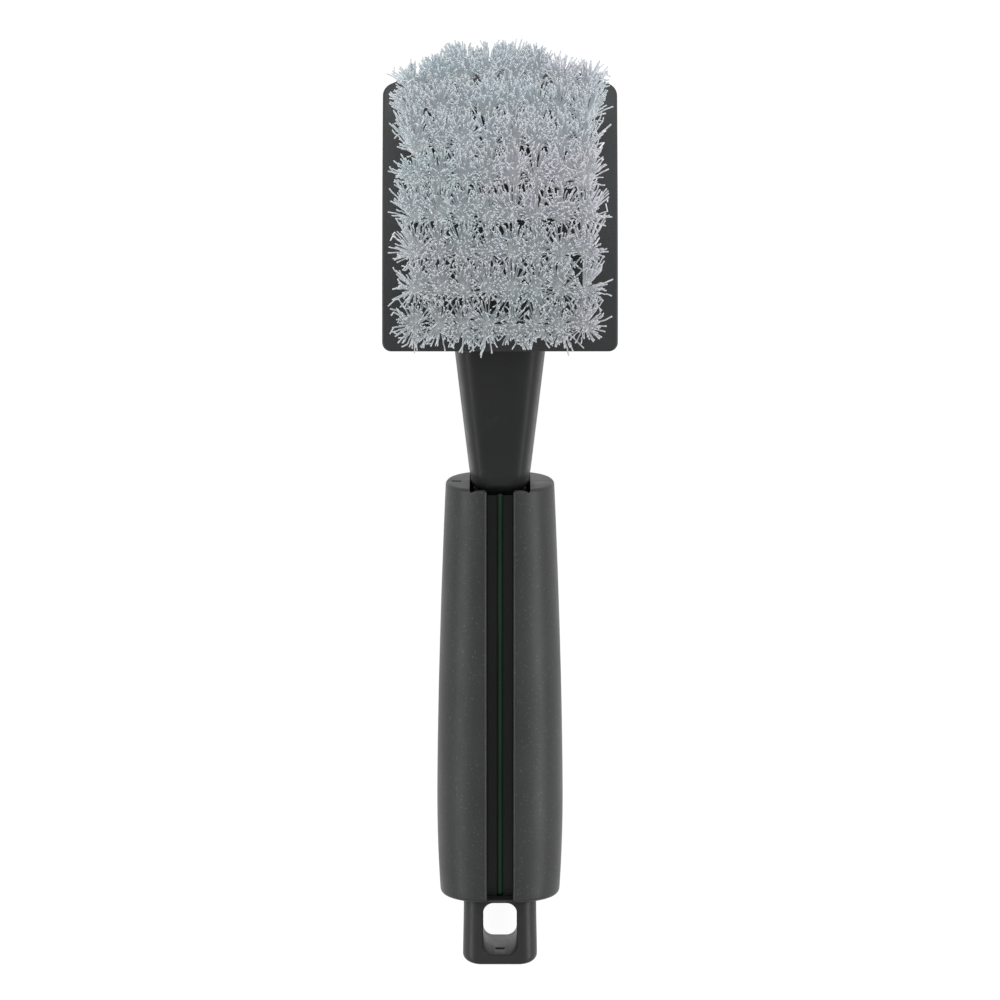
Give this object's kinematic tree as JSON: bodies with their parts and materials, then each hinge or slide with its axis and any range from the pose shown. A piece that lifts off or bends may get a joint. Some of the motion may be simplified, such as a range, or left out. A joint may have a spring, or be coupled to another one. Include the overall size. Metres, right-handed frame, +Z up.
{
  "type": "wheel brush",
  "caption": "Hand brush for wheels and tyres: a convex tufted head of stiff grey bristles, a short neck, a slotted soft grip with an accent rod and a hang tab.",
  "frame": {"origin": "middle of the brush's length and width, on the surface that it lies on with its bristles up", "axes": "+Y along the handle towards the head, +Z up out of the bristle side, +X to the right seen from above with the head away from you"},
  "size_m": [0.07, 0.287, 0.0641],
  "materials": {
    "head_plastic": "fine moulded texture, matte black",
    "frame_plastic": "smooth moulded, semi-gloss black",
    "grip_rubber": "soft-touch matte dark grey",
    "accent_plastic": "smooth dark green",
    "bristle": "translucent cool grey filament with pale cut tips",
    "staple_brass": "drawn flat wire"
  },
  "bodies": {
    "root": {"tuft_plate": "head_plastic", "handle_frame": "frame_plastic", "grip_front": "grip_rubber", "grip_rear": "grip_rubber", "accent_rod": "accent_plastic", "tuft_row_1": "bristle", "tuft_row_2": "bristle", "tuft_row_3": "bristle", "tuft_row_4": "bristle", "tuft_row_5": "bristle", "tuft_row_6": "bristle", "tuft_row_7": "bristle", "tuft_row_8": "bristle", "staple_row_1": "staple_brass", "staple_row_2": "staple_brass", "staple_row_3": "staple_brass", "staple_row_4": "staple_brass", "staple_row_5": "staple_brass", "staple_row_6": "staple_brass", "staple_row_7": "staple_brass", "staple_row_8": "staple_brass"}
  },
  "joints": []
}
